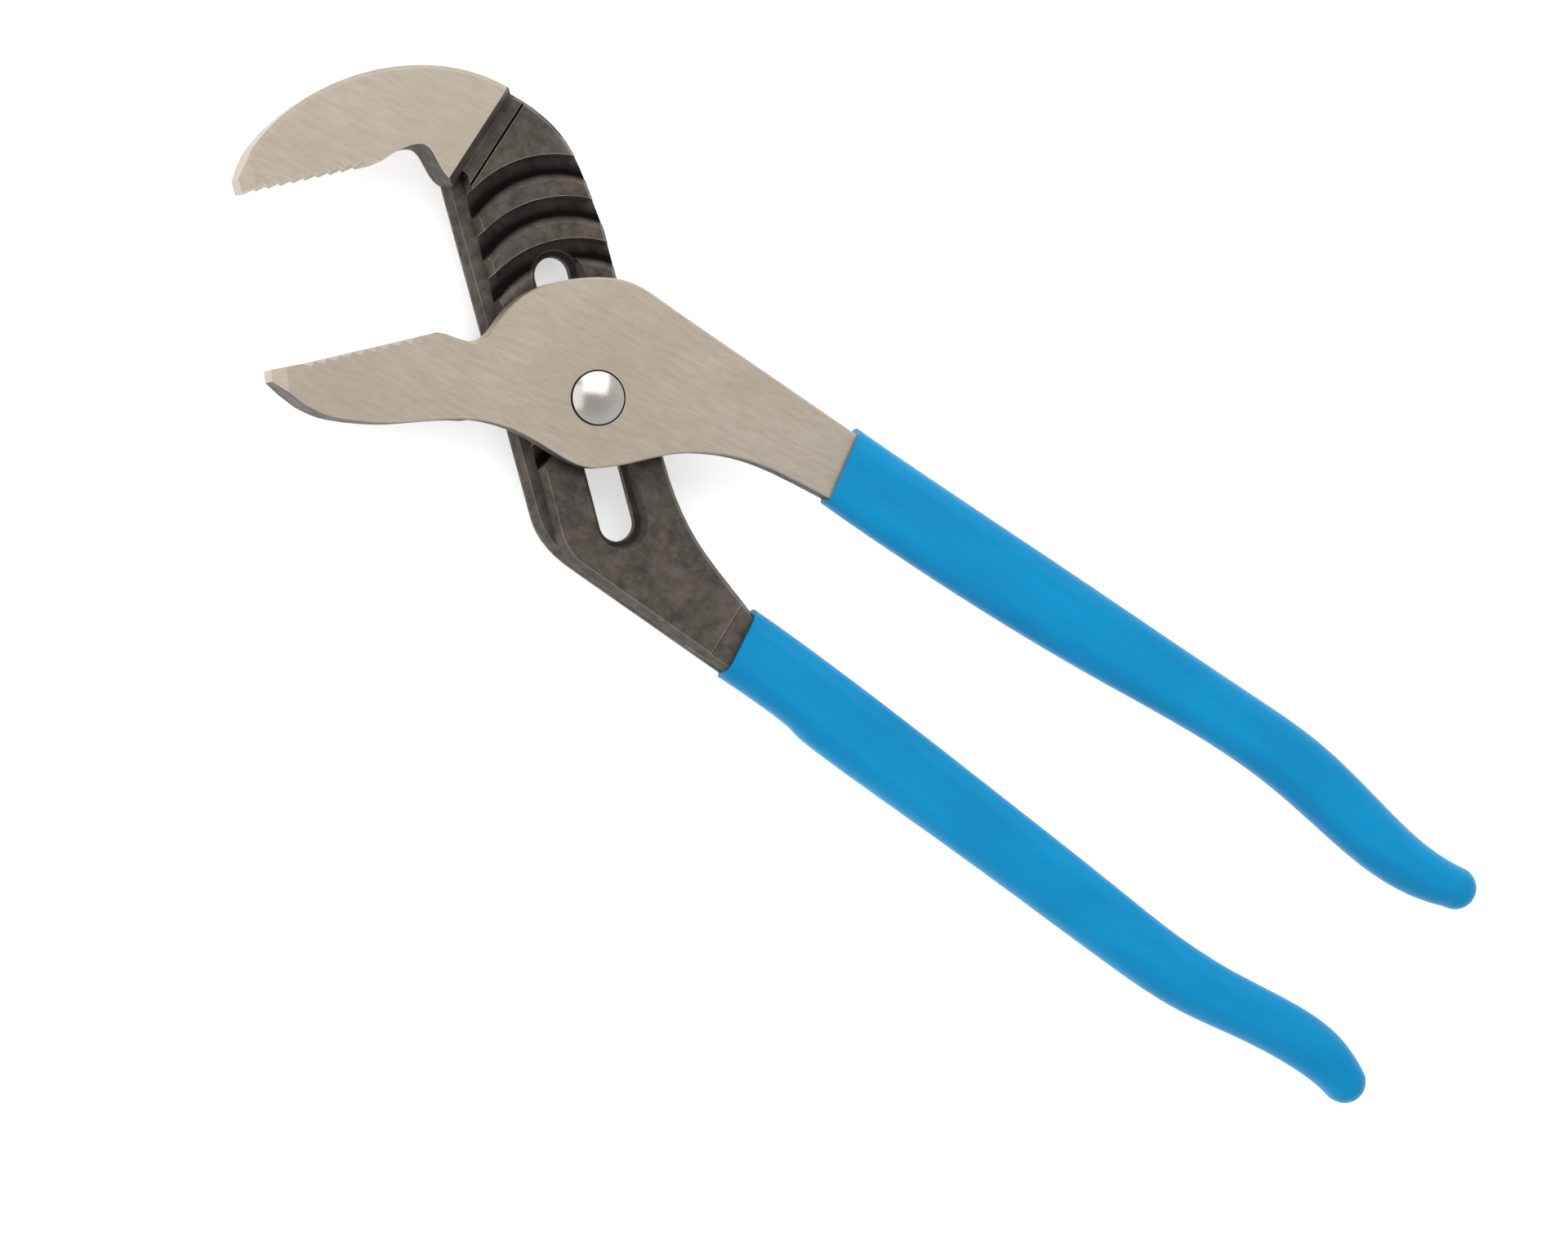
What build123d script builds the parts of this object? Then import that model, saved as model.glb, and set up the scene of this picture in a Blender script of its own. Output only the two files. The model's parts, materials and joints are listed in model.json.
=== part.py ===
"""Tongue and groove pliers, 12 inch size, lying flat with the bolt head up.

+X runs from the jaws to the handle ends, +Y towards the upper jaw, +Z up out of the front face.
The origin is under the middle of the tool, on the surface that it lies on.
Lengths are in millimetres and angles in degrees. Sketches are drawn about the pivot axis.
"""

from build123d import *
from math import cos, radians, sin, tan
import os

os.makedirs("parts", exist_ok=True)

# Thicknesses, from the front face to the back
plate_thickness = 6.3
neck_thickness = 7.4
mating_gap = 0.1
washer_thickness = 1.2
nut_height = 4.5
jaw_thickness = neck_thickness + plate_thickness

# Place of the pivot axis, and height of the face where the two halves meet
pivot_x = -68.3
pivot_y = -2.5
mating_height = nut_height + washer_thickness + mating_gap + neck_thickness

# Slot in the grooved half, and the bolt positions along it
slot_angle = -42.0
position_count = 7
position_pitch = 8.6
slot_travel = (position_count - 1) * position_pitch
slot_width = 7.2
slot_pocket_width = 9.3
slot_pocket_depth = 5.4
slot_rim_taper = 5.0

# Grooves and tongue, as rings about the bolt's axis
groove_outer_radius = 23.9
groove_inner_radius = 20.1
groove_depth = 2.9
groove_undercut = 0.3
groove_chamfer_width = 1.4
groove_chamfer_depth = 0.95
groove_start_angle = 92.0
groove_arc = 98.0
tongue_clearance = 0.25
tongue_height = 2.4
tongue_start_angle = 140.0
tongue_arc = 32.0

# Side walls of the neck: a land, and a wider rail behind it
rail_depth = 3.0
rail_bevel_width = 1.1
rail_bevel_height = 2.3
rail_back_chamfer = 0.7
land_margin = 1.1
land_bevel_height = 2.5

# Jaw teeth
teeth_angle = 46.7
tooth_pitch = 2.55
tooth_depth = 0.9
tooth_valley = 0.7
tooth_count = 9

# Step between the upper jaw and the land, with a relief strip at its foot
step_top_x = -48.6
step_foot_x = -46.3
relief_x = -43.2
relief_depth = 0.3
crease_width = 0.5
crease_depth = 1.1

# Handles and their dipped grips
handle_lean = 0.8
handle_root_x = 44.0
bar_thickness = 6.0
bar_edge_radius = 2.4
grip_coat = 1.5
grip_edge_radius = 4.0
upper_grip_x = 50.0
lower_grip_x = 53.4
upper_mouth_lean = 8.4
lower_mouth_lean = 5.7
handle_step_x = 48.8
handle_step = 0.4

# Pivot bolt, washer and nut
bolt_head_diameter = 10.5
bolt_seat_diameter = 11.3
bolt_seat_depth = 1.7
bolt_rim_height = 0.3
bolt_dome_height = 1.5
shoulder_diameter = 9.0
shank_diameter = 7.0
thread_diameter = 6.3
running_clearance = 0.05
washer_diameter = 15.0
nut_width = 11.0
nut_chamfer = 0.6
bolt_end_recess = 0.4
bolt_end_chamfer = 0.5

# Small edges
face_chamfer = 0.35
tip_bevel = 2.6
jaw_bevel = 0.8
rim_radius = 0.5
cut_margin = 1.0
neck_reach = 60.0


def level(height):
    """The plane at a height above the mating face, with its origin on the pivot axis."""
    return Plane(origin=(pivot_x, pivot_y, mating_height + height))


def pivot_line(distance_along_slot=0.0):
    """The upright axis of the bolt when it stands at a distance along the slot from rest."""
    x = pivot_x + distance_along_slot * cos(radians(slot_angle))
    y = pivot_y + distance_along_slot * sin(radians(slot_angle))
    return Axis((x, y, mating_height), (0, 0, 1))


def slot_plane(height):
    """A level plane at the pivot whose X direction runs along the slot."""
    return level(height).rotated((0, 0, slot_angle))


def ring_plane(axis, angle):
    """An upright plane through axis, whose X direction points outwards at angle."""
    outward = Vector(cos(radians(angle)), sin(radians(angle)), 0)
    return Plane(origin=axis.position, x_dir=outward, z_dir=outward.cross(Vector(0, 0, 1)))


def section_plane():
    """The upright plane through the pivot axis, with X along the tool and Y up."""
    return Plane(origin=(pivot_x, pivot_y, mating_height), x_dir=(1, 0, 0), z_dir=(0, -1, 0))


def handle_plane(root_height, lean):
    """The middle plane of a handle, leaning towards the mating face along its length."""
    pivot_height = mating_height + root_height + handle_root_x * tan(radians(lean))
    return Plane(origin=(pivot_x, pivot_y, pivot_height)).rotated((0, lean, 0))


def upper_handle_outline(start, margin):
    """Outline of the upper handle, set in by margin from the grip's surface."""
    with BuildLine() as outline:
        top = Spline(
            (start, 25.1 - margin),
            (100, 25.6 - margin),
            (150, 26.2 - margin),
            (170, 25.9 - margin),
            (187, 23.2 - margin),
            (203, 20.9 - margin),
            (212, 21.4 - margin),
        )
        bottom = Spline(
            (213, 12.3 + margin),
            (205, 10.2 + margin),
            (196, 9.5 + margin),
            (185, 10.3 + margin),
            (165, 12.6 + margin),
            (120, 10.5 + margin),
            (70, 8.3 + margin),
            (start, 8.7 + margin),
        )
        ThreePointArc(top @ 1, (217.4 - margin, 17.1), bottom @ 0)
        Line(bottom @ 1, top @ 0)
    return outline.line


def lower_handle_outline(start, margin):
    """Outline of the lower handle, set in by margin from the grip's surface."""
    with BuildLine() as outline:
        top = Spline(
            (start, -16.4 - margin),
            (75, -17.3 - margin),
            (120, -20.4 - margin),
            (150, -22.8 - margin),
            (165, -24.0 - margin),
            (181, -23.8 - margin),
            (197, -22.3 - margin),
            (210, -23.4 - margin),
            (217 - 0.5 * margin, -26.4 - 0.86 * margin),
            tangents=((1, 0), (0.86, -0.5)),
        )
        cap = TangentArc(top @ 1, (213.6, -34.7 + margin), tangent=top % 1)
        bottom = Spline(
            cap @ 1,
            (201, -33.9 + margin),
            (190, -34.9 + margin),
            (176, -36.9 + margin),
            (155, -37.0 + margin),
            (110, -34.9 + margin),
            (75, -33.3 + margin),
            (start, -31.9 + margin),
            tangents=(cap % 1, (-1, 0)),
        )
        Line(bottom @ 1, top @ 0)
    return outline.line


def handle_bar(outline, plane, start, margin, thickness, edge_radius):
    """A bar with the handle's outline and rounded long edges."""
    with BuildPart() as bar:
        with BuildSketch(plane.offset(-thickness / 2)):
            add(outline(start, margin))
            make_face()
        extrude(amount=thickness)
        faces = bar.faces().sort_by(Axis.Z)
        fillet(faces[0].edges() + faces[-1].edges(), edge_radius)
    return bar.part


def upper_jaw_outline():
    """The upper jaw seen from the front, with its gripping face as one straight line."""
    with BuildLine() as outline:
        back = Bezier((step_foot_x, 41.6), (-65.8, 41.6), (-83.9, 21.5), (-83.9, 2))
        tip = Polyline(back @ 1, (-82.9, -3.6), (-80.7, -5.5), (-77.7, -2.2), (-61.5, 15.0))
        hollow = Spline(tip @ 1, (-60.2, 18.0), (-56.1, 22.4), (-50.8, 20.3), (step_foot_x, 19.9))
        Line(hollow @ 1, back @ 0)
    return outline.line


def neck_outline(left, left_top, bottom, margin):
    """The neck and handle root. left and left_top are the left wall's distances from the slot line."""
    right = 11.2 + margin
    angle = radians(slot_angle)
    along = Vector(cos(angle), sin(angle))
    across = Vector(-sin(angle), cos(angle))
    root_top = (59, -21.5 + margin)
    with BuildLine() as outline:
        crown = Spline(
            (-52, 41.0),
            (-41, 41.7 + margin),
            (-32, 40.0 + margin),
            (-23.8, 35.3 + margin),
            along * -32 + across * right,
        )
        wall = Line(crown @ 1, along * 16 + across * right)
        waist = Spline(
            wall @ 1,
            (34, -12.1 + margin),
            (51, -18.1 + margin),
            root_top,
            tangents=(along, (1, -0.6)),
        )
        floor = Polyline(waist @ 1, (59, -28.5), (55, bottom - 0.9), (17, bottom))
        corner = Spline(floor @ 1, along * 20 - across * left, tangents=((-1, 0), -along))
        side = Line(corner @ 1, along * -49 - across * left_top)
        Polyline(side @ 1, (-52, 23), crown @ 0)
    return outline.line


def tongued_outline():
    """The tongued half seen from the front: lower jaw, round head, heel and handle root."""
    with BuildLine() as outline:
        bite = Polyline((-55.8, -33.1), (-57.3, -31.3), (-53.2, -27.3), (-34.2, -7.2))
        hollow = Spline(
            bite @ 1,
            (-31.5, -6.2),
            (-27.4, -4.8),
            (-25.0, 1.0),
            tangents=((1, 0.7), (0, 1)),
        )
        head = Spline(
            hollow @ 1,
            (-18.9, 15.3),
            (-8.4, 22.6),
            (6, 23.5),
            tangents=((0, 1), (1, 0)),
        )
        root = Polyline(head @ 1, (58, 23.5), (58, 9.9))
        belly = Spline(
            root @ 1,
            (46, 9.0),
            (32, 6.4),
            (18, -1.8),
            (9.9, -9.9),
            (5.4, -12.9),
            (-2, -13.9),
            (-12, -14.9),
            (-20, -18.2),
            (-32, -27.1),
            (-42, -32.4),
            (-48, -33.6),
            tangents=((-1, 0), (-1, -0.1)),
        )
        Line(belly @ 1, bite @ 0)
    return outline.line


def tooth_gaps(first_tooth, side):
    """The row of saw tooth gaps along a gripping face. side is +1 for the upper jaw, -1 for the lower."""
    angle = radians(teeth_angle)
    row = Plane(
        origin=level((plate_thickness - neck_thickness) / 2).from_local_coords(first_tooth),
        x_dir=(cos(angle), sin(angle), 0),
        z_dir=(0, 0, side),
    )
    valley = (tooth_pitch * tooth_valley, tooth_depth)
    with BuildPart() as gaps:
        with BuildSketch(row):
            with Locations([(count * tooth_pitch, 0) for count in range(tooth_count)]):
                Polygon((0, 0), (tooth_pitch, 0), valley, align=None)
        extrude(amount=jaw_thickness, both=True)
    return gaps.part


def groove_ring(position):
    """The space of one arc groove about the bolt's axis at a position, with an undercut lower wall."""
    axis = pivot_line((position - (position_count - 1) / 2) * position_pitch)
    ridge_radius = groove_inner_radius - groove_chamfer_width
    with BuildPart() as ring:
        with BuildSketch(ring_plane(axis, groove_start_angle)):
            with BuildLine():
                Polyline(
                    (ridge_radius, 0),
                    (groove_inner_radius, -groove_chamfer_depth),
                    (groove_inner_radius - groove_undercut, -groove_depth),
                    (groove_outer_radius, -groove_depth),
                    (groove_outer_radius, cut_margin),
                    (ridge_radius, cut_margin),
                    close=True,
                )
            make_face()
        revolve(axis=axis, revolution_arc=groove_arc)
    return ring.part


def tongue():
    """The arc tongue on the back of the head, which runs in whichever groove the bolt stands at."""
    inner = groove_inner_radius + tongue_clearance
    outer = groove_outer_radius - tongue_clearance
    with BuildPart() as ring:
        with BuildSketch(ring_plane(pivot_line(), tongue_start_angle)):
            Polygon(
                (inner, mating_gap),
                (inner - groove_undercut * tongue_height / groove_depth, -tongue_height),
                (outer, -tongue_height),
                (outer, mating_gap),
                align=None,
            )
        revolve(axis=pivot_line(), revolution_arc=tongue_arc)
    return ring.part


def grip_skin(outline, plane, mouth_x, mouth_lean):
    """The outer shape of a dipped grip, cut off square at its mouth."""
    thickness = bar_thickness + 2 * grip_coat
    bar = handle_bar(outline, plane, mouth_x - 2 * grip_edge_radius, 0, thickness, grip_edge_radius)
    lean = radians(mouth_lean)
    mouth_y = (bar.bounding_box().min.Y + bar.bounding_box().max.Y) / 2
    mouth = Plane(origin=(pivot_x + mouth_x, mouth_y, 0), z_dir=(cos(lean), sin(lean), 0))
    return split(bar, bisect_by=mouth, keep=Keep.TOP)


def edge_near(part, x, y, height):
    """The edge of a part that lies nearest to a point given about the pivot axis."""
    return part.edges().sort_by_distance(level(height).from_local_coords((x, y, 0)))[0]


def shown_edges(face):
    """The edges of a neck face that stay outside the jaw and the grip."""
    return face.edges().filter_by_position(Axis.X, pivot_x - 50, pivot_x + 56)


# Handle bars, which the two halves and their grips share
upper_plane = handle_plane((plate_thickness + mating_gap) / 2, handle_lean)
lower_plane = handle_plane(-(neck_thickness + handle_step) / 2, -handle_lean)
upper_bar = handle_bar(
    upper_handle_outline, upper_plane, handle_root_x, grip_coat, bar_thickness, bar_edge_radius
)
lower_bar = handle_bar(
    lower_handle_outline, lower_plane, handle_root_x, grip_coat, bar_thickness, bar_edge_radius
)

# Upper jaw, full thickness, with a bevelled tip and saw teeth
with BuildPart() as upper_jaw:
    with BuildSketch(level(-neck_thickness)):
        add(upper_jaw_outline())
        make_face()
    extrude(amount=jaw_thickness)
    for height in (plate_thickness, -neck_thickness):
        chamfer(edge_near(upper_jaw, -81.8, -4.6, height), tip_bevel)
    for height in (plate_thickness, -neck_thickness):
        chamfer(edge_near(upper_jaw, -75, 26, height), jaw_bevel)
    add(tooth_gaps((-79.3, -3.95), 1), mode=Mode.SUBTRACT)
    with BuildSketch(section_plane()) as step:
        Polygon(
            (step_top_x, plate_thickness),
            (step_foot_x, -relief_depth),
            (relief_x, -relief_depth),
            (relief_x, plate_thickness + cut_margin),
            (step_top_x, plate_thickness + cut_margin),
            align=None,
        )
    extrude(amount=neck_reach, both=True, mode=Mode.SUBTRACT)

# Grooved half: neck with its slot and grooves, joined to the upper jaw and the lower handle
with BuildPart() as grooved_half:
    with BuildSketch(level(-neck_thickness)):
        add(neck_outline(left=16.7, left_top=17.3, bottom=-30.0, margin=land_margin))
        make_face()
    extrude(amount=neck_thickness - rail_depth)
    rail = grooved_half.faces().sort_by(Axis.Z)[-1]
    chamfer(shown_edges(rail), rail_bevel_width, rail_bevel_height, reference=rail)
    chamfer(shown_edges(grooved_half.faces().sort_by(Axis.Z)[0]), rail_back_chamfer)
    with BuildSketch(level(-rail_depth)):
        add(neck_outline(left=13.6, left_top=13.6, bottom=-29.6, margin=0.9))
        make_face()
    extrude(amount=rail_depth)
    land = grooved_half.faces().sort_by(Axis.Z)[-1]
    chamfer(shown_edges(land), land_margin, land_bevel_height, reference=land)

    with BuildSketch(slot_plane(-neck_thickness)):
        SlotCenterToCenter(slot_travel, slot_width)
    extrude(amount=neck_thickness, mode=Mode.SUBTRACT)
    with BuildSketch(slot_plane(-slot_pocket_depth)):
        SlotCenterToCenter(slot_travel, slot_pocket_width)
    extrude(amount=slot_pocket_depth, taper=-slot_rim_taper, mode=Mode.SUBTRACT)
    land = grooved_half.faces().sort_by(Axis.Z)[-1]
    fillet(land.inner_wires()[0].edges(), rim_radius)
    for position in range(position_count):
        add(groove_ring(position), mode=Mode.SUBTRACT)

    with BuildSketch(level(-handle_step)):
        with Locations((handle_step_x + neck_reach, 0)):
            Rectangle(2 * neck_reach, 4 * neck_reach)
    extrude(amount=handle_step, mode=Mode.SUBTRACT)
    add(lower_bar)
    with BuildSketch(section_plane()):
        Polygon(
            (step_top_x - cut_margin, 0),
            (relief_x, 0),
            (relief_x - crease_width / 2, -crease_depth),
            (relief_x - crease_width, -relief_depth),
            (step_top_x - cut_margin, -relief_depth),
            align=None,
        )
    extrude(amount=neck_reach, both=True, mode=Mode.SUBTRACT)
    add(upper_jaw.part)

# Tongued half: front plate with the head, lower jaw behind it, and the tongue
with BuildPart() as tongued_half:
    with BuildSketch(level(-neck_thickness)):
        add(tongued_outline())
        make_face()
        with BuildLine():
            Polyline((-80, 30), (-35.5, 16), (-18.8, -17.0), (-16, -45), (-80, -45), close=True)
        make_face(mode=Mode.INTERSECT)
    extrude(amount=jaw_thickness)
    with BuildSketch(level(mating_gap)):
        add(tongued_outline())
        make_face()
    extrude(amount=plate_thickness - mating_gap)
    for height in (plate_thickness, -neck_thickness):
        chamfer(edge_near(tongued_half, -56.5, -32.1, height), tip_bevel)
    belly_edge = edge_near(tongued_half, -30, -25.5, plate_thickness)
    head_edge = edge_near(tongued_half, -19, 15, plate_thickness)
    chamfer([belly_edge, head_edge], face_chamfer)
    add(tooth_gaps((-53.2, -27.3), -1), mode=Mode.SUBTRACT)
    add(tongue())
    add(upper_bar)
    with Locations(level(plate_thickness)):
        CounterBoreHole(
            radius=shoulder_diameter / 2 + running_clearance,
            counter_bore_radius=bolt_seat_diameter / 2,
            counter_bore_depth=bolt_seat_depth,
            depth=plate_thickness,
        )

# Dipped grips
with BuildPart() as upper_handle_grip:
    add(grip_skin(upper_handle_outline, upper_plane, upper_grip_x, upper_mouth_lean))
    add(tongued_half.part, mode=Mode.SUBTRACT)

with BuildPart() as lower_handle_grip:
    add(grip_skin(lower_handle_outline, lower_plane, lower_grip_x, lower_mouth_lean))
    add(grooved_half.part, mode=Mode.SUBTRACT)

# Pivot bolt: domed head, shoulder in the plate and slot pocket, shank and threaded end
washer_back = -(neck_thickness + mating_gap + washer_thickness)
nut_back = washer_back - nut_height
with BuildPart() as pivot_bolt:
    with BuildSketch(section_plane()):
        with BuildLine():
            rim = (bolt_head_diameter / 2, plate_thickness + bolt_rim_height)
            crown = (0, plate_thickness + bolt_rim_height + bolt_dome_height)
            dome = TangentArc(crown, rim, tangent=(1, 0))
            Polyline(
                rim,
                (bolt_head_diameter / 2, plate_thickness - bolt_seat_depth),
                (shoulder_diameter / 2, plate_thickness - bolt_seat_depth),
                (shoulder_diameter / 2, running_clearance - slot_pocket_depth),
                (shank_diameter / 2, running_clearance - slot_pocket_depth),
                (shank_diameter / 2, washer_back),
                (thread_diameter / 2, washer_back),
                (thread_diameter / 2, nut_back + bolt_end_recess + bolt_end_chamfer),
                (thread_diameter / 2 - bolt_end_chamfer, nut_back + bolt_end_recess),
                (0, nut_back + bolt_end_recess),
                crown,
            )
        make_face()
    revolve(axis=pivot_line())

with BuildPart() as pivot_washer:
    with BuildSketch(level(washer_back)):
        Circle(washer_diameter / 2)
        Circle(shank_diameter / 2 + running_clearance, mode=Mode.SUBTRACT)
    extrude(amount=washer_thickness)

with BuildPart() as pivot_nut:
    with BuildSketch(level(nut_back)):
        RegularPolygon(radius=nut_width / 2, side_count=6, major_radius=False)
        Circle(thread_diameter / 2 + running_clearance, mode=Mode.SUBTRACT)
    extrude(amount=nut_height)
    with BuildSketch(section_plane()):
        Polygon(
            (0, nut_back),
            (nut_width / 2, nut_back),
            (nut_width / 2 + 2 * nut_chamfer, nut_back + nut_chamfer),
            (nut_width / 2 + 2 * nut_chamfer, washer_back),
            (0, washer_back),
            align=None,
        )
    revolve(axis=pivot_line(), mode=Mode.INTERSECT)

pieces = {
    "grooved_half": grooved_half,
    "tongued_half": tongued_half,
    "upper_handle_grip": upper_handle_grip,
    "lower_handle_grip": lower_handle_grip,
    "pivot_bolt": pivot_bolt,
    "pivot_washer": pivot_washer,
    "pivot_nut": pivot_nut,
}
for name, piece in pieces.items():
    piece.part.label = name
    export_step(piece.part, f"parts/{name}.step")
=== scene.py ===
"""Tongue and groove pliers: materials, floor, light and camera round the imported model."""
import json
from math import radians

import bpy
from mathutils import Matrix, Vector

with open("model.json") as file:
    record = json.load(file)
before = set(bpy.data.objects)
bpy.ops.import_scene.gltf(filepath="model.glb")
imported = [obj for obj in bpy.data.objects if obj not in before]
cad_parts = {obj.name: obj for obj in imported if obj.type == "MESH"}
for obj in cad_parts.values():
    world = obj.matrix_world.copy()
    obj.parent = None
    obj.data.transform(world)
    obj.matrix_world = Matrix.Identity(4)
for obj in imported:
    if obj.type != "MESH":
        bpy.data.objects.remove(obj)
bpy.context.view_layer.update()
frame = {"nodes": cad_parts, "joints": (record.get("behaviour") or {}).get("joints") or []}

MM = 0.001

# Places and sizes, in metres and radians. PIVOT is the imported hinge's place. LAND_Z and the sizes
# of the slot and grooves repeat part.py's. The jaw's two places, which bound colours, lie within
# about 1 mm of part.py's, and the angles of the grain and the scuffs are chosen.
PIVOT = Vector(next(j["pos_m"] for j in frame["joints"] if j["name"] == "handle_pivot"))
LAND_Z = 13.2 * MM
JAW_STEP_X = PIVOT.x - 48.7 * MM
JAW_HOLLOW_X = PIVOT.x - 61.2 * MM
GRAIN_ANGLE = radians(8)
SCUFF_ANGLE = radians(8)
RING_DENSITY = 6000  # noise cycles per metre of radius
SLOT_ANGLE = radians(-42)
GROOVE_PITCH = 8.6 * MM
GROOVE_RADIUS = 23.9 * MM
LAST_GROOVE = 3 * GROOVE_PITCH

# Where the grooves' shade starts and where it is full: below the land, across one groove as a
# share of the pitch, in from the land's left edge, out from the slot's axis, past the last groove.
# SHADE_RISE is the share of the pitch over which it rises.
SHADE_DEPTH = (LAND_Z - 0.25 * MM, LAND_Z - 0.9 * MM)
SHADE_GROOVE = (0.62, 0.56)
SHADE_LEFT = (-13.9 * MM, -13.5 * MM)
SHADE_SLOT = (4.6 * MM, 5.0 * MM)
SHADE_LAST = (LAST_GROOVE + 5.2 * MM, LAST_GROOVE + 4.9 * MM)
SHADE_RISE = 0.36

# Steel, forging skin and vinyl, as linear colours
STEEL_DARK = (0.335, 0.292, 0.236, 1)
STEEL_LIGHT = (0.410, 0.361, 0.296, 1)
STEEL_STAIN = (0.305, 0.252, 0.188, 1)
# Painted shade for bare steel, put in grooves and corners
PAINTED_SHADE_STEEL = (0.085, 0.072, 0.058, 1)
STEEL_EDGE = (0.72, 0.67, 0.60, 1)
TURNED_EDGE = (0.85, 0.83, 0.8, 1)
OXIDE_DARK = (0.030, 0.025, 0.021, 1)
OXIDE_LIGHT = (0.080, 0.064, 0.052, 1)
OXIDE_RUBBED = (0.130, 0.108, 0.088, 1)
# Painted shade for the forging skin, put in crevices and grooves
PAINTED_SHADE_OXIDE = (0.006, 0.005, 0.004, 1)
OXIDE_SPECK = (0.20, 0.18, 0.155, 1)
OXIDE_WORN = (0.36, 0.32, 0.275, 1)
VINYL_DARK = (0.0, 0.180, 0.385, 1)
VINYL_LIGHT = (0.0, 0.212, 0.440, 1)


class Shader:
    """One material's node tree, with a short call for each kind of node."""

    def __init__(self, name):
        self.material = bpy.data.materials.new(name)
        self.material.use_nodes = True
        self.tree = self.material.node_tree
        self.surface = self.tree.nodes["Principled BSDF"]
        self.coordinates = self.node("ShaderNodeTexCoord").outputs["Object"]

    def node(self, kind, inputs=None, **settings):
        made = self.tree.nodes.new(kind)
        for key, value in settings.items():
            setattr(made, key, value)
        for key, value in (inputs or {}).items():
            self.put(made.inputs[key], value)
        return made

    def put(self, socket, value):
        if isinstance(value, bpy.types.NodeSocket):
            self.tree.links.new(value, socket)
        else:
            socket.default_value = value

    def set(self, **sockets):
        """Sets the surface's own sockets, named with underscores for spaces."""
        for name, value in sockets.items():
            self.put(self.surface.inputs[name.replace("_", " ")], value)

    def math(self, operation, a, b=0.0):
        return self.node("ShaderNodeMath", {0: a, 1: b}, operation=operation).outputs[0]

    def axis(self, vector, index):
        return self.node("ShaderNodeSeparateXYZ", {0: vector}).outputs[index]

    def turned(self, angle=0.0, scale=(1, 1, 1)):
        """Object coordinates turned about +Z, then stretched."""
        turn = self.node("ShaderNodeMapping", {"Vector": self.coordinates, "Rotation": (0, 0, -angle)})
        stretch = self.node("ShaderNodeMapping", {"Vector": turn.outputs[0], "Scale": scale})
        return stretch.outputs[0]

    def noise(self, scale, detail=3.0, roughness=0.55, vector=None):
        made = self.node(
            "ShaderNodeTexNoise",
            {
                "Vector": vector or self.coordinates,
                "Scale": scale,
                "Detail": detail,
                "Roughness": roughness,
            },
        )
        return made.outputs["Fac"]

    def ramp(self, value, low, high, start=0.0, end=1.0):
        """Maps value from low..high to start..end, held at both ends."""
        made = self.node(
            "ShaderNodeMapRange",
            {"Value": value, "From Min": low, "From Max": high, "To Min": start, "To Max": end},
        )
        return made.outputs["Result"]

    def mix(self, amount, first, second):
        made = self.node("ShaderNodeMix", data_type="RGBA")
        for index, value in ((0, amount), (6, first), (7, second)):
            self.put(made.inputs[index], value)
        return made.outputs[2]

    def edges(self, radius):
        """About 0 on open faces and up to 1 on edges sharper than radius, outer and inner alike."""
        soft = self.node("ShaderNodeBevel", {"Radius": radius}, samples=6).outputs[0]
        true = self.node("ShaderNodeNewGeometry").outputs["True Normal"]
        alike = self.node("ShaderNodeVectorMath", {0: soft, 1: true}, operation="DOT_PRODUCT")
        return self.ramp(alike.outputs["Value"], 0.99, 0.80)

    def open_sky(self, distance):
        """1 where nothing is near, down to 0 deep in a groove or corner."""
        made = self.node("ShaderNodeAmbientOcclusion", {"Distance": distance}, samples=8)
        return made.outputs["AO"]

    def bump(self, height, depth, under=None):
        inputs = {"Height": height, "Distance": depth, "Strength": 1.0}
        if under is not None:
            inputs["Normal"] = under
        return self.node("ShaderNodeBump", inputs).outputs[0]


def linished_steel(shader):
    """Colour, roughness and normal of a face ground on a belt, with its grain at a slant."""
    fine = shader.noise(1.0, 3.0, 0.6, shader.turned(GRAIN_ANGLE, (500, 4200, 1200)))
    coarse = shader.noise(1.0, 2.0, 0.5, shader.turned(GRAIN_ANGLE, (150, 1100, 400)))
    cloud = shader.noise(38, 4.0, 0.6)
    grain = shader.math("ADD", shader.math("MULTIPLY", fine, 0.6), shader.math("MULTIPLY", coarse, 0.4))
    colour = shader.mix(shader.ramp(grain, 0.36, 0.64), STEEL_DARK, STEEL_LIGHT)
    colour = shader.mix(shader.ramp(cloud, 0.42, 0.72, 0.0, 0.45), colour, STEEL_STAIN)
    roughness = shader.ramp(grain, 0.3, 0.7, 0.42, 0.52)
    normal = shader.bump(grain, 0.006 * MM)
    return colour, roughness, normal


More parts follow.
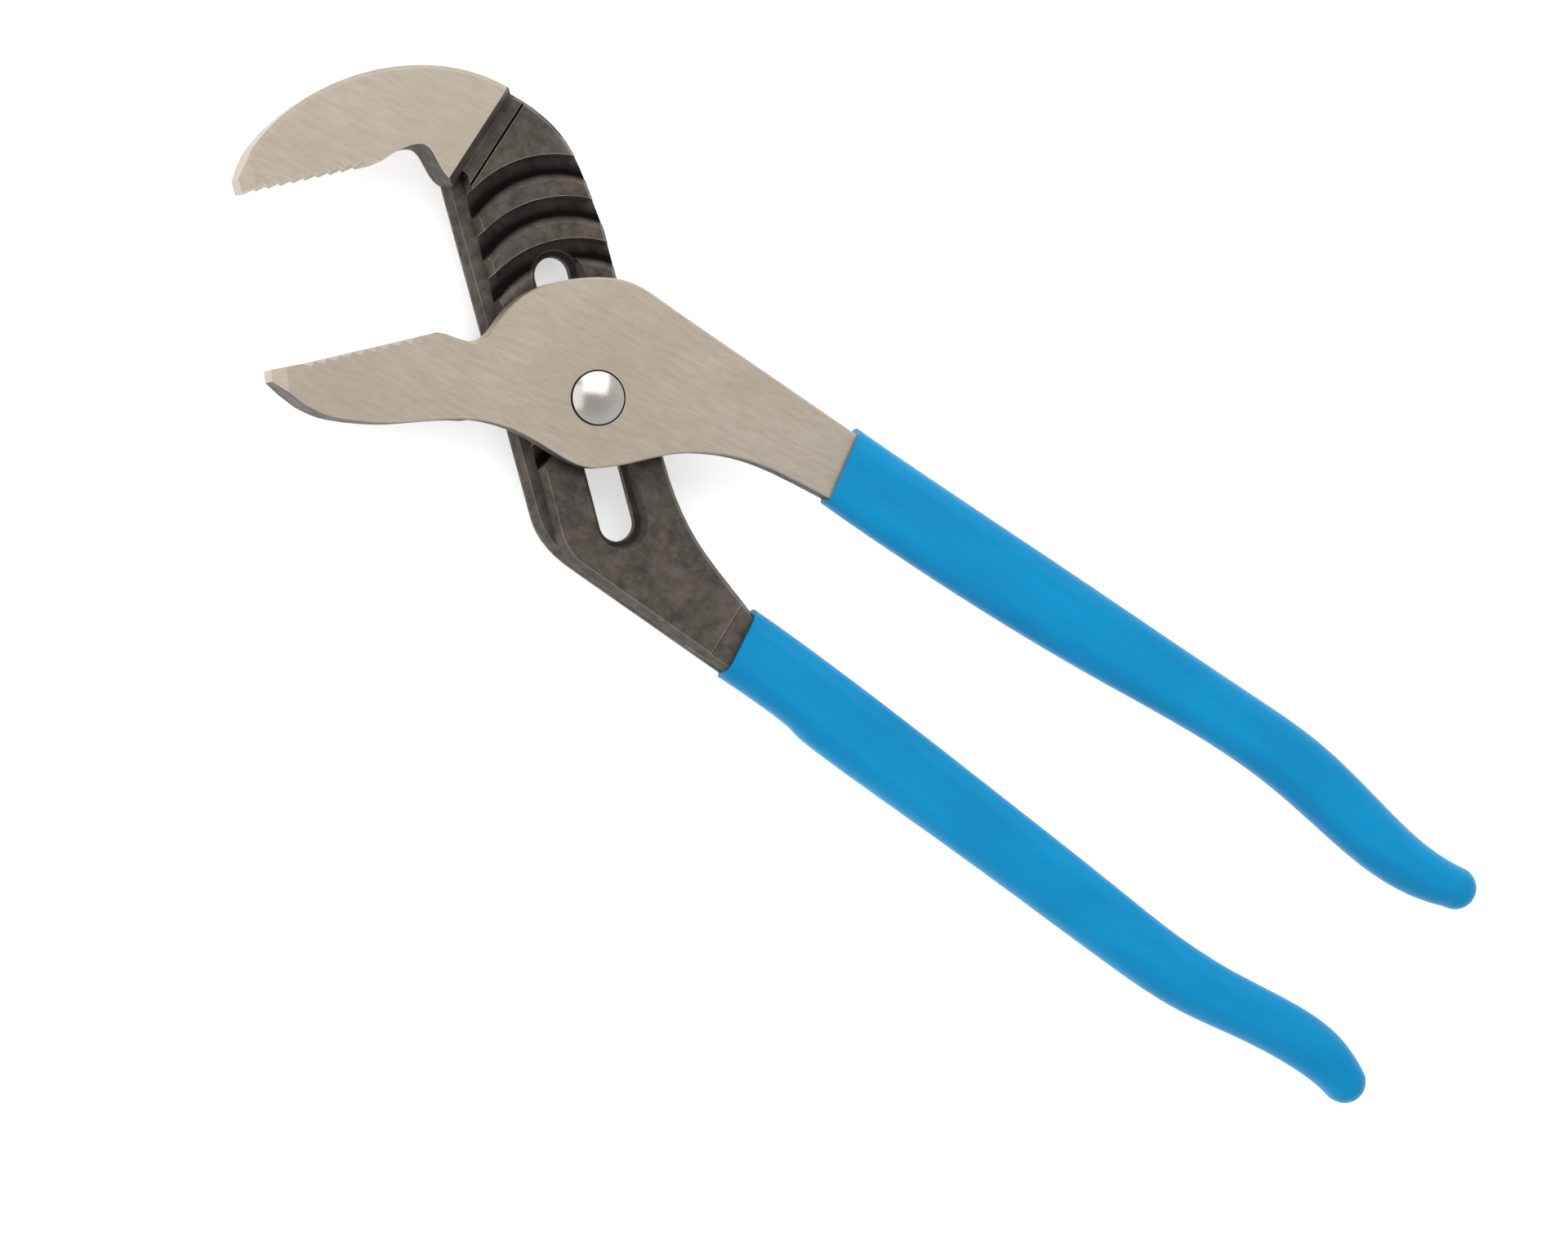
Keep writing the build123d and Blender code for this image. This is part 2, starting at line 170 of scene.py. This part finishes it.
def groove_shade(shader):
    """0 outside the arc grooves, and up to 1 across each one, rising along the slot."""
    place = shader.node("ShaderNodeMapping", {"Vector": shader.coordinates, "Location": -PIVOT})
    slot_frame = {"Vector": place.outputs[0], "Rotation": (0, 0, -SLOT_ANGLE)}
    turn = shader.node("ShaderNodeMapping", slot_frame).outputs[0]
    along = shader.axis(turn, 0)
    across = shader.axis(turn, 1)
    reach_squared = shader.math("SUBTRACT", GROOVE_RADIUS**2, shader.math("MULTIPLY", across, across))
    reach = shader.math("SQRT", shader.math("MAXIMUM", reach_squared, 0.0))
    sweep = shader.math("ADD", along, reach)
    # The whole number added only keeps the value positive
    phase = shader.math("FRACT", shader.math("ADD", shader.math("DIVIDE", sweep, GROOVE_PITCH), 10.0))
    below = shader.ramp(shader.axis(shader.coordinates, 2), *SHADE_DEPTH)
    past_slot = shader.math("MAXIMUM", shader.math("SUBTRACT", -LAST_GROOVE, along), 0.0)
    slot_offset = shader.node("ShaderNodeCombineXYZ", {0: past_slot, 1: across}).outputs[0]
    slot_length = shader.node("ShaderNodeVectorMath", {0: slot_offset}, operation="LENGTH")
    limits = (
        below,
        shader.ramp(phase, *SHADE_GROOVE),
        shader.ramp(across, *SHADE_LEFT),
        shader.ramp(slot_length.outputs["Value"], *SHADE_SLOT),
        shader.ramp(sweep, *SHADE_LAST),
    )
    shade = shader.ramp(phase, 0.0, SHADE_RISE, 0.25, 1.0)
    for limit in limits:
        shade = shader.math("MULTIPLY", shade, limit)
    return shade


def oxide_skin(shader):
    """Colour, roughness and normal of black forging skin, worn bright at its edges, with painted shade in
    its crevices and grooves, and that painted shade's mask.
    """
    mottle = shader.noise(420, 5.0, 0.65)
    speck = shader.noise(1700, 3.0, 0.7)
    cloud = shader.noise(90, 4.0, 0.6)
    skin = shader.mix(shader.ramp(mottle, 0.35, 0.68), OXIDE_DARK, OXIDE_LIGHT)
    skin = shader.mix(shader.ramp(cloud, 0.50, 0.72, 0.0, 0.55), skin, OXIDE_RUBBED)
    skin = shader.mix(shader.ramp(speck, 0.68, 0.74, 0.0, 0.5), skin, OXIDE_SPECK)
    worn = shader.math("MULTIPLY", shader.edges(0.3 * MM), shader.ramp(cloud, 0.3, 0.55, 0.35, 1.0))
    skin = shader.mix(worn, skin, OXIDE_WORN)
    # Painted shade: the skin is darkened almost to black in crevices and across the arc grooves, where
    # shade falls
    painted_crevice_shade = shader.ramp(shader.open_sky(3 * MM), 0.30, 0.85, 0.9, 0.0)
    dark = shader.math("MAXIMUM", painted_crevice_shade, groove_shade(shader))
    skin = shader.mix(dark, skin, PAINTED_SHADE_OXIDE)
    roughness = shader.ramp(mottle, 0.3, 0.7, 0.68, 0.55)
    normal = shader.bump(mottle, 0.03 * MM, shader.bump(speck, 0.01 * MM))
    return skin, roughness, normal, dark


def split_steel(ground, shader):
    """Ground bare steel where ground is 1, and oxide skin where it is 0."""
    bare, bare_roughness, bare_normal = linished_steel(shader)
    bright = shader.math("MULTIPLY", shader.edges(0.22 * MM), 0.6)
    bare = shader.mix(bright, bare, STEEL_EDGE)
    # Painted shade: bare steel is darkened deep in grooves, corners and between the teeth, where shade
    # falls
    bare = shader.mix(shader.ramp(shader.open_sky(1.5 * MM), 0.2, 0.8, 0.85, 0.0), bare, PAINTED_SHADE_STEEL)
    skin, skin_roughness, skin_normal, dark = oxide_skin(shader)
    # Painted shade also takes the skin's reflection out in its crevices and grooves
    painted_shade_on_skin = shader.math("MULTIPLY", shader.math("SUBTRACT", 1.0, ground), dark)
    shader.set(
        Base_Color=shader.mix(ground, skin, bare),
        Roughness=shader.mix(ground, skin_roughness, bare_roughness),
        Normal=shader.mix(ground, skin_normal, bare_normal),
        Metallic=shader.ramp(ground, 0, 1, 0.35, 0.85),
        Specular_IOR_Level=shader.ramp(painted_shade_on_skin, 0.0, 1.0, 0.45, 0.03),
    )
    return shader.material


def local_normal(shader):
    """The face's own direction in the piece's frame, free of bumps."""
    normal = shader.node("ShaderNodeNewGeometry").outputs["True Normal"]
    return shader.node(
        "ShaderNodeVectorTransform",
        {0: normal},
        vector_type="NORMAL",
        convert_from="WORLD",
        convert_to="OBJECT",
    ).outputs[0]


def tongued_steel():
    """The front half: ground on its front face and its head's rim, oxide skin on the other walls; the
    bare steel on walls turned to +y and -x is partly ground finish, partly painted light.
    """
    shader = Shader("tongued_steel")
    facing = local_normal(shader)
    front = shader.ramp(shader.axis(facing, 2), 0.15, 0.25)
    # Partly painted light: walls turned to +y above the land, which catch the light, get bare steel
    upper_side_ground_and_painted_light = shader.math(
        "MULTIPLY",
        shader.ramp(shader.axis(facing, 1), 0.05, 0.15),
        shader.ramp(shader.axis(shader.coordinates, 2), LAND_Z, LAND_Z + 0.1 * MM),
    )
    # Partly painted light: walls turned to -x, which catch the light, get bare steel
    minus_x_side_ground_and_painted_light = shader.ramp(shader.axis(facing, 0), -0.25, -0.35)
    ground = shader.math("MAXIMUM", front, shader.math("MAXIMUM", upper_side_ground_and_painted_light, minus_x_side_ground_and_painted_light))
    return split_steel(ground, shader)


def grooved_steel():
    """The rear half: oxide skin on the neck, ground bare on the jaw's faces and past its hollow; the bare
    steel on the jaw's sides turned to +y is partly ground finish, partly painted light.
    """
    shader = Shader("grooved_steel")
    facing = local_normal(shader)
    x = shader.axis(shader.coordinates, 0)
    flat = shader.ramp(shader.math("ABSOLUTE", shader.axis(facing, 2)), 0.35, 0.45)
    on_jaw = shader.ramp(x, JAW_STEP_X + 0.05 * MM, JAW_STEP_X)
    past_hollow = shader.ramp(x, JAW_HOLLOW_X + 0.4 * MM, JAW_HOLLOW_X - 0.4 * MM)
    # Partly painted light: the jaw's sides turned to +y, which catch the light, get bare steel
    upward_ground_and_painted_light = shader.ramp(shader.axis(facing, 1), 0.05, 0.15)
    side = shader.math("MAXIMUM", past_hollow, upward_ground_and_painted_light)
    ground = shader.math("MULTIPLY", on_jaw, shader.math("MAXIMUM", flat, side))
    return split_steel(ground, shader)


def dipped_vinyl():
    """The grips: soft, glossy, dipped vinyl with faint ripples and scuffs."""
    shader = Shader("dipped_vinyl")
    ripple = shader.noise(1.0, 2.0, 0.5, shader.turned(0, (45, 160, 160)))
    skin = shader.noise(1400, 3.0, 0.6)
    scuff = shader.noise(1.0, 4.0, 0.7, shader.turned(SCUFF_ANGLE, (60, 900, 300)))
    colour = shader.mix(shader.ramp(ripple, 0.3, 0.7), VINYL_DARK, VINYL_LIGHT)
    scuffed = shader.ramp(scuff, 0.45, 0.75, 0.36, 0.48)
    roughness = shader.math("ADD", scuffed, shader.ramp(skin, 0, 1, -0.03, 0.03))
    normal = shader.bump(ripple, 0.30 * MM, shader.bump(skin, 0.010 * MM))
    shader.set(
        Base_Color=colour,
        Roughness=roughness,
        Normal=normal,
        Specular_IOR_Level=0.14,
    )
    return shader.material


def turned_steel(name, dark, bright, roughness, metallic=1.0):
    """Lathe-turned steel, with rings about the pivot axis."""
    shader = Shader(name)
    to_pivot = {"Vector": shader.coordinates, "Location": (-PIVOT.x, -PIVOT.y, 0)}
    middle = shader.node("ShaderNodeMapping", to_pivot)
    flat = shader.node("ShaderNodeVectorMath", {0: middle.outputs[0], 1: (1, 1, 0)}, operation="MULTIPLY")
    radius = shader.node("ShaderNodeVectorMath", {0: flat.outputs[0]}, operation="LENGTH")
    spread = shader.math("MULTIPLY", radius.outputs["Value"], RING_DENSITY)
    rings = shader.noise(1.0, 4.0, 0.7, shader.node("ShaderNodeCombineXYZ", {0: spread}).outputs[0])
    cloud = shader.noise(400, 3.0)
    colour = shader.mix(shader.ramp(rings, 0.35, 0.65), dark, bright)
    colour = shader.mix(shader.ramp(cloud, 0.5, 0.8, 0.0, 0.3), colour, dark)
    colour = shader.mix(shader.math("MULTIPLY", shader.edges(0.2 * MM), 0.5), colour, TURNED_EDGE)
    rough = shader.math("ADD", shader.ramp(rings, 0.3, 0.7, -0.04, 0.06), roughness)
    shader.set(
        Base_Color=colour,
        Roughness=rough,
        Normal=shader.bump(rings, 0.002 * MM),
        Metallic=metallic,
    )
    return shader.material


def dress(node, material):
    """Gives a CAD node one material."""
    mesh = frame["nodes"][node].data
    mesh.materials.clear()
    mesh.materials.append(material)


dress("tongued_half", tongued_steel())
dress("grooved_half", grooved_steel())
vinyl = dipped_vinyl()
dress("upper_handle_grip", vinyl)
dress("lower_handle_grip", vinyl)
dress("pivot_bolt", turned_steel("polished_bolt", (0.34, 0.32, 0.29, 1), (0.52, 0.50, 0.47, 1), 0.22))
dress("pivot_washer", turned_steel("plain_washer", (0.30, 0.28, 0.26, 1), (0.45, 0.43, 0.40, 1), 0.42))
dress("pivot_nut", turned_steel("dark_nut", (0.06, 0.055, 0.05, 1), (0.12, 0.11, 0.10, 1), 0.45, 0.7))


def floor():
    """A plain pale floor under the tool."""
    side = 6.0
    mesh = bpy.data.meshes.new("floor")
    corners = [(-side, -side, 0), (side, -side, 0), (side, side, 0), (-side, side, 0)]
    mesh.from_pydata(corners, [], [(0, 1, 2, 3)])
    made = bpy.data.objects.new("floor", mesh)
    bpy.context.scene.collection.objects.link(made)
    shader = Shader("floor")
    paper = shader.noise(9, 2.0)
    colour = shader.mix(paper, (0.90, 0.90, 0.90, 1), (0.93, 0.93, 0.93, 1))
    shader.set(Base_Color=colour, Roughness=0.7, Emission_Color=(1, 1, 1, 1), Emission_Strength=0.45)
    mesh.materials.append(shader.material)


def area_light(name, place, aim, size, power):
    """A soft square light at place, facing aim."""
    data = bpy.data.lights.new(name, "AREA")
    data.size = size
    data.energy = power
    made = bpy.data.objects.new(name, data)
    made.location = place
    made.rotation_euler = (Vector(aim) - Vector(place)).to_track_quat("-Z", "Y").to_euler()
    bpy.context.scene.collection.objects.link(made)


def sky(level, overhead):
    """White light, at strength level up to 30 degrees above the horizon, and overhead straight up."""
    world = bpy.data.worlds.new("studio")
    world.use_nodes = True
    nodes = world.node_tree.nodes
    links = world.node_tree.links
    height = nodes.new("ShaderNodeSeparateXYZ")
    links.new(nodes.new("ShaderNodeTexCoord").outputs["Generated"], height.inputs[0])
    dimmed = nodes.new("ShaderNodeMapRange")
    links.new(height.outputs[2], dimmed.inputs["Value"])
    dimmed.inputs["From Min"].default_value = 0.5
    dimmed.inputs["To Min"].default_value = level
    dimmed.inputs["To Max"].default_value = overhead
    background = nodes["Background"]
    background.inputs["Color"].default_value = (1, 1, 1, 1)
    links.new(dimmed.outputs["Result"], background.inputs["Strength"])
    bpy.context.scene.world = world


def camera():
    """Above the jaws, looking down and along the handles."""
    data = bpy.data.cameras.new("camera")
    data.sensor_width = 36
    data.lens = 103.1
    made = bpy.data.objects.new("camera", data)
    made.location = (-0.2283, -0.1437, 0.8882)
    made.rotation_euler = (radians(-0.917), radians(-16.026), radians(33.0))
    bpy.context.scene.collection.objects.link(made)
    bpy.context.scene.camera = made


floor()
sky(1.0, 0.65)
area_light("key", (-0.45, 0.85, 1.1), (-0.02, 0, 0), 1.6, 16)
area_light("fill", (-1.0, -0.5, 0.8), (-0.02, 0, 0), 1.4, 6)
camera()
bpy.context.scene.view_settings.view_transform = "Standard"
